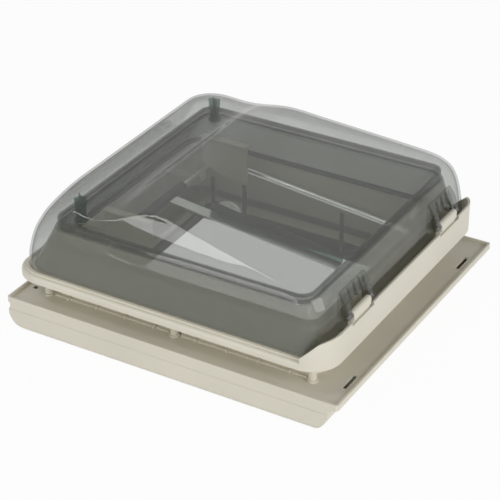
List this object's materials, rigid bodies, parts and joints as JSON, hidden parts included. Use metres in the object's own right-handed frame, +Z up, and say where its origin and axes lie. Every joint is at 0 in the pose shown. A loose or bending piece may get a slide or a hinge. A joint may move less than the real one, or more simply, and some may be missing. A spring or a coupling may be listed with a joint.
{
  "type": "caravan roof vent",
  "caption": "Square caravan roof vent: hinged double-skin acrylic lid on a cream roof frame, clamped to a ceiling frame with flyscreen and blind.",
  "frame": {"origin": "middle of the ceiling frame on the bezel's underside", "axes": "+Z up through the roof, +X towards the hinges, +Y to the back"},
  "size_m": [0.48, 0.437, 0.2059],
  "materials": {
    "cream_plastic": "fine satin, moulded",
    "clear_acrylic": "gloss, clear with a light grey tint",
    "smoked_acrylic": "gloss, smoked grey with a green edge",
    "flyscreen_net": "fine open net",
    "blind_fabric": "pleated, matte",
    "seal_rubber": "matte",
    "zinc_steel": "zinc plated",
    "bow_aluminium": "satin anodised",
    "grip_plastic": "satin"
  },
  "bodies": {
    "frame": {"ceiling_frame": "cream_plastic", "ceiling_bezel": "cream_plastic", "flyscreen_cassette": "cream_plastic", "blind_cassette": "cream_plastic", "flyscreen_cloth": "flyscreen_net", "blind_cloth": "blind_fabric", "screen_guide_left": "cream_plastic", "screen_guide_right": "cream_plastic", "roof_frame": "cream_plastic", "mounting_screws": "zinc_steel", "lid_seal": "seal_rubber", "wind_deflector": "cream_plastic", "hinge_block_front": "cream_plastic", "hinge_block_back": "cream_plastic", "hinge_pin_front": "zinc_steel", "hinge_pin_back": "zinc_steel", "bow_bracket_front": "cream_plastic", "bow_bracket_back": "cream_plastic", "bow_pin_front": "zinc_steel", "bow_pin_back": "zinc_steel", "bow_clip_front": "cream_plastic", "bow_clip_back": "cream_plastic"},
    "lid": {"outer_dome": "clear_acrylic", "inner_skin": "smoked_acrylic", "spacer_post_front": "smoked_acrylic", "spacer_post_back": "smoked_acrylic", "post_screws": "zinc_steel", "hinge_base_front": "smoked_acrylic", "hinge_base_back": "smoked_acrylic", "bow_rail_front": "cream_plastic", "bow_rail_back": "cream_plastic", "stay_rail": "smoked_acrylic", "stay_strip": "bow_aluminium", "stay_grip": "bow_aluminium"},
    "bow": {"opening_bow": "bow_aluminium", "bow_grip": "grip_plastic"},
    "flyscreen_end_bar": {"flyscreen_bar": "cream_plastic"},
    "blind_end_bar": {"blind_bar": "cream_plastic"}
  },
  "joints": [
    {"name": "lid_hinge", "type": "hinge", "parent": "frame", "child": "lid", "pos_m": [0.216, 0, 0.126], "axis": [0, 1, 0], "range_deg": [0, 50]},
    {"name": "bow_pivot", "type": "hinge", "parent": "frame", "child": "bow", "pos_m": [0.172, 0, 0.074], "axis": [0, 1, 0], "range_deg": [0, 50.7]},
    {"name": "flyscreen_slide", "type": "slide", "parent": "frame", "child": "flyscreen_end_bar", "axis": [0, 1, 0], "range_m": [0, 0.283], "deforming": ["flyscreen_cloth"]},
    {"name": "blind_slide", "type": "slide", "parent": "frame", "child": "blind_end_bar", "axis": [0, 1, 0], "range_m": [0, 0.283], "deforming": ["blind_cloth"]}
  ],
  "couplings": [
    {"joint": "bow_pivot", "follows": "lid_hinge", "ratio": 1.014}
  ]
}
